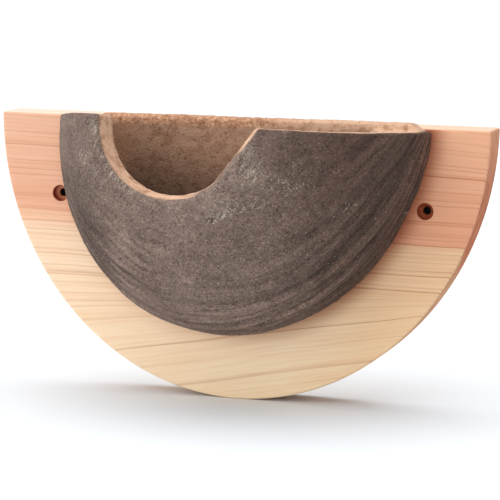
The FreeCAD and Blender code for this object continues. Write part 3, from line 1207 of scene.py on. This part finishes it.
def outside_colour(wiring, at):
    """Grey-brown, streaked, with painted highlight and shade on the ridges, right side and hollows."""
    colour = wiring.mix(wiring.steps(at.tone, *TONE_RANGE), OUTSIDE_DARK, OUTSIDE_LIGHT)
    left_foot = wiring.where((at.x, LEFT_FOOT_SIDE), (at.z, LEFT_FOOT_UNDER))
    colour = wiring.tint(left_foot, colour, LEFT_FOOT)
    uneven_x = wiring.math("MULTIPLY_ADD", at.blotch, RIGHT_SHADE_RAGGED, at.x)
    colour = wiring.tint(wiring.steps(uneven_x, *RIGHT_SHADE_FROM), colour, RIGHT_SIDE_SHADE)
    colour = tinted(wiring, colour, at, OUTSIDE_TINTS)
    return wiring.tint(at.hollows, colour, HOLLOW_SHADE)


print("tints outside:", len(OUTSIDE_TINTS))

# %% Crackle, rust and dust
CRACKLE_STRETCH = (0.55, 0.55, 0.36)
CRACKLE_WIDTH = (0.085, 0.01)
CRACKLE_WHERE = (0.46, 0.62)
CRACKLE_SHARE = 0.7
CRACKLE_TONE = (0.58, 0.55, 0.53)
RUST = (0.34, 0.155, 0.095)
RUST_SHARE = 0.55
RUST_RIGHT = (66.0, 84.0)
RUST_BEHIND = (-46.0, -34.0)
RUST_STREAKS = (0.52, 0.60)
STROKE_RISE = 0.57
STROKE_FALL = 0.82
STROKE_STRETCH = (0.13, 0.75, 1.0)
STROKE_NOISE = (1.0, 3.0, 0.6)
SPECK_SHARE = 0.6
STROKE_SHARE = 0.4
DUST = (0.62, 0.54, 0.44)
DUST_SHARE = 0.70
DUST_SPREAD = 0.10
POWDER_RANGE = (0.595, 0.650)
PALE_GRAIN = (0.60, 0.53, 0.46)
PALE_RANGE = (0.745, 0.78)
PALE_SHARE = 0.5


def crackled(wiring, at, place, colour):
    """A faint net of cracks, in patches where the mix dried fast."""
    cells = {"Vector": wiring.stretched(place, CRACKLE_STRETCH), "Scale": 1.0}
    net = wiring.add("ShaderNodeTexVoronoi", cells, feature="DISTANCE_TO_EDGE")
    crack = wiring.where((net.outputs["Distance"], CRACKLE_WIDTH), (at.cracked, CRACKLE_WHERE))
    return wiring.tint(wiring.times(crack, CRACKLE_SHARE), colour, CRACKLE_TONE)


def rusty(wiring, at, colour):
    """Rust-brown crumbs near the right edge."""
    crumbs = wiring.where((at.x, RUST_RIGHT), (at.y, RUST_BEHIND), (at.streak, RUST_STREAKS))
    return wiring.mix(wiring.times(crumbs, RUST_SHARE), colour, RUST)


def dusted(wiring, at, colour):
    """Pale dust in slanting strokes and specks, and single pale grains."""
    risen = wiring.math("MULTIPLY_ADD", at.x, STROKE_RISE, wiring.times(at.z, STROKE_FALL))
    aside = wiring.math("MULTIPLY_ADD", at.x, -STROKE_FALL, wiring.times(at.z, STROKE_RISE))
    slanting = wiring.stretched(wiring.combine(risen, aside, 0.0), STROKE_STRETCH)
    strokes = wiring.times(wiring.noise(slanting, *STROKE_NOISE), STROKE_SHARE)
    clumps = wiring.math("MULTIPLY_ADD", at.specks, SPECK_SHARE, strokes)
    clumps = wiring.math("MULTIPLY_ADD", at.dust, DUST_SPREAD, clumps)
    powder = wiring.times(wiring.steps(clumps, *POWDER_RANGE), wiring.math("SQRT", at.dust))
    colour = wiring.mix(wiring.times(powder, DUST_SHARE), colour, DUST)
    pale = wiring.times(wiring.steps(at.pale, *PALE_RANGE), PALE_SHARE)
    return wiring.mix(pale, colour, PALE_GRAIN)


# %% Cut faces and hollow
CUT_TAN = (0.75, 0.475, 0.320)
CUT_BROWN = (0.50, 0.275, 0.165)
CUT_BLOTCH = (0.46, 0.70)
CUT_PALE = (0.88, 0.68, 0.54)
CUT_GRIT = (0.56, 0.72)
CUT_TINTS = [
    ("grain", 0.12, 0.02, None, (0.78, 0.70, 0.64)),
]
LIP_BACK = (-38.0, -34.0)
LIP_RIGHT = (44.0, 0.0)
LIP_CRUMBS = (0.42, 0.60)
LIP_LIGHT = (0.95, 0.86, 0.78)
LIP_DARK = (0.56, 0.43, 0.35)
INSIDE_BROWN = (0.46, 0.275, 0.180)
# Painted shade: the hollow darkens towards the bottom.
INSIDE_SHADE = (0.17, 0.100, 0.070)
INSIDE_SHADE_DEPTH = (33.0, -5.0)
INSIDE_TINTS = [
    ("blotch", 0.42, 0.72, None, (0.72, 0.66, 0.62)),
    ("grit", 0.56, 0.70, None, (1.5, 1.42, 1.35)),
    ("grain", 0.15, 0.02, None, (0.66, 0.60, 0.55)),
]
INSIDE_LEFT = (-44.0, -60.0)
INSIDE_HIGH = (2.0, 24.0)
INSIDE_LEFT_SHARE = 0.75


def cut_colour(wiring, at):
    """Pale tan with brown blotches, and brown crumbs along the lip of the back wall."""
    colour = wiring.mix(wiring.steps(at.blotch, *CUT_BLOTCH), CUT_TAN, CUT_BROWN)
    colour = wiring.mix(wiring.steps(at.grit, *CUT_GRIT), colour, CUT_PALE)
    colour = tinted(wiring, colour, at, CUT_TINTS)
    on_lip = wiring.where((at.y, LIP_BACK), (at.x, LIP_RIGHT))
    lip_tone = wiring.mix(wiring.steps(at.crumbs, *LIP_CRUMBS), LIP_LIGHT, LIP_DARK)
    return wiring.tint(on_lip, colour, lip_tone)


def hollow_colour(wiring, at):
    """Brown, darkened towards the bottom with painted shade, and lighter high up on the left."""
    colour = wiring.mix(wiring.steps(at.z, *INSIDE_SHADE_DEPTH), INSIDE_BROWN, INSIDE_SHADE)
    colour = tinted(wiring, colour, at, INSIDE_TINTS)
    by_left = wiring.where((at.x, INSIDE_LEFT), (at.z, INSIDE_HIGH))
    return wiring.mix(wiring.times(by_left, INSIDE_LEFT_SHARE), colour, CUT_BROWN)


print("tints of the cut faces and the hollow:", len(CUT_TINTS) + len(INSIDE_TINTS))

# %% Cup finish
MINERAL_ROUGH = (0.78, 0.98)
MINERAL_SHINE = 0.25
MINERAL_BUMP = (0.85, 0.0006)
GRAIN_RELIEF = 0.5


def mineral_finish():
    """The cup's material: outside, cut faces and hollow, each where its attribute says."""
    material, wiring, shader, place = new_material("rough_mineral")
    at = cup_patterns(wiring, place)
    outside = crackled(wiring, at, place, outside_colour(wiring, at))
    outside = dusted(wiring, at, rusty(wiring, at, outside))
    bare = wiring.mix(at.inside, cut_colour(wiring, at), hollow_colour(wiring, at))
    wiring.feed(shader.inputs["Base Color"], wiring.mix(at.outer, bare, outside))
    wiring.feed(shader.inputs["Roughness"], wiring.between(at.grit, *MINERAL_ROUGH))
    shader.inputs["Specular IOR Level"].default_value = MINERAL_SHINE

    round_grains = wiring.math("SUBTRACT", 1.0, at.grains["Distance"])
    relief = wiring.math("MULTIPLY_ADD", round_grains, GRAIN_RELIEF, at.grit)
    relief = wiring.math("MULTIPLY_ADD", at.streak, at.streaked, relief)
    wiring.feed(shader.inputs["Normal"], wiring.bump(relief, *MINERAL_BUMP))
    return material


only_material(cup, mineral_finish())
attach(cup, "root")
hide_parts("nest_cup")
print("cup box:", [round(side * PER_METRE, 1) for side in cup.dimensions])
